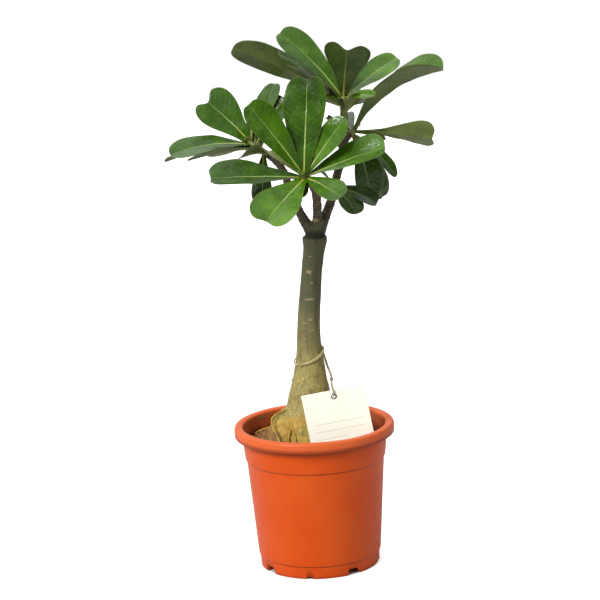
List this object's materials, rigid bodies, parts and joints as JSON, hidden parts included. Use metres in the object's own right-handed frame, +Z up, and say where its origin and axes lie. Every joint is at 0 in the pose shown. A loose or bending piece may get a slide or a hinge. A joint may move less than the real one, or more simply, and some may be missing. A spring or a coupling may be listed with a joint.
{
  "type": "potted desert rose adenium",
  "caption": "Grafted desert rose with a swollen base and rosettes of rounded glossy leaves, in a terracotta-coloured plastic nursery pot, with a blank card tag tied on with twine.",
  "frame": {"origin": "middle of the flat pad under the pot, on the pot's axis, on the surface that the pot stands on", "axes": "+Z up along the pot's axis, -Y towards the front, which is the side the tag hangs on, and +X to the right as seen from the front"},
  "size_m": [0.2611, 0.1973, 0.5089],
  "materials": {
    "pot_plastic": "satin moulded polypropylene, terracotta orange",
    "potting_soil": "dry brown potting mix with bark and grit, matte",
    "bark": "smooth grey-olive bark, ochre and green at the swollen base, with pale pores and scars",
    "foliage": "waxy dark green upper side with a pale midrib, matte olive underside",
    "card": "uncoated ivory card",
    "eyelet_metal": "dull silver-grey",
    "twine": "cream two-ply twine, matte"
  },
  "bodies": {
    "root": {"pot": "pot_plastic", "soil": "potting_soil", "trunk": "bark", "shoot_front": "foliage", "shoot_top": "foliage", "shoot_left": "foliage", "shoot_low_right": "foliage", "shoot_right": "foliage", "tag": "card", "tag_eyelet": "eyelet_metal", "twine_wrap": "twine", "twine_strand": "twine"}
  },
  "joints": []
}
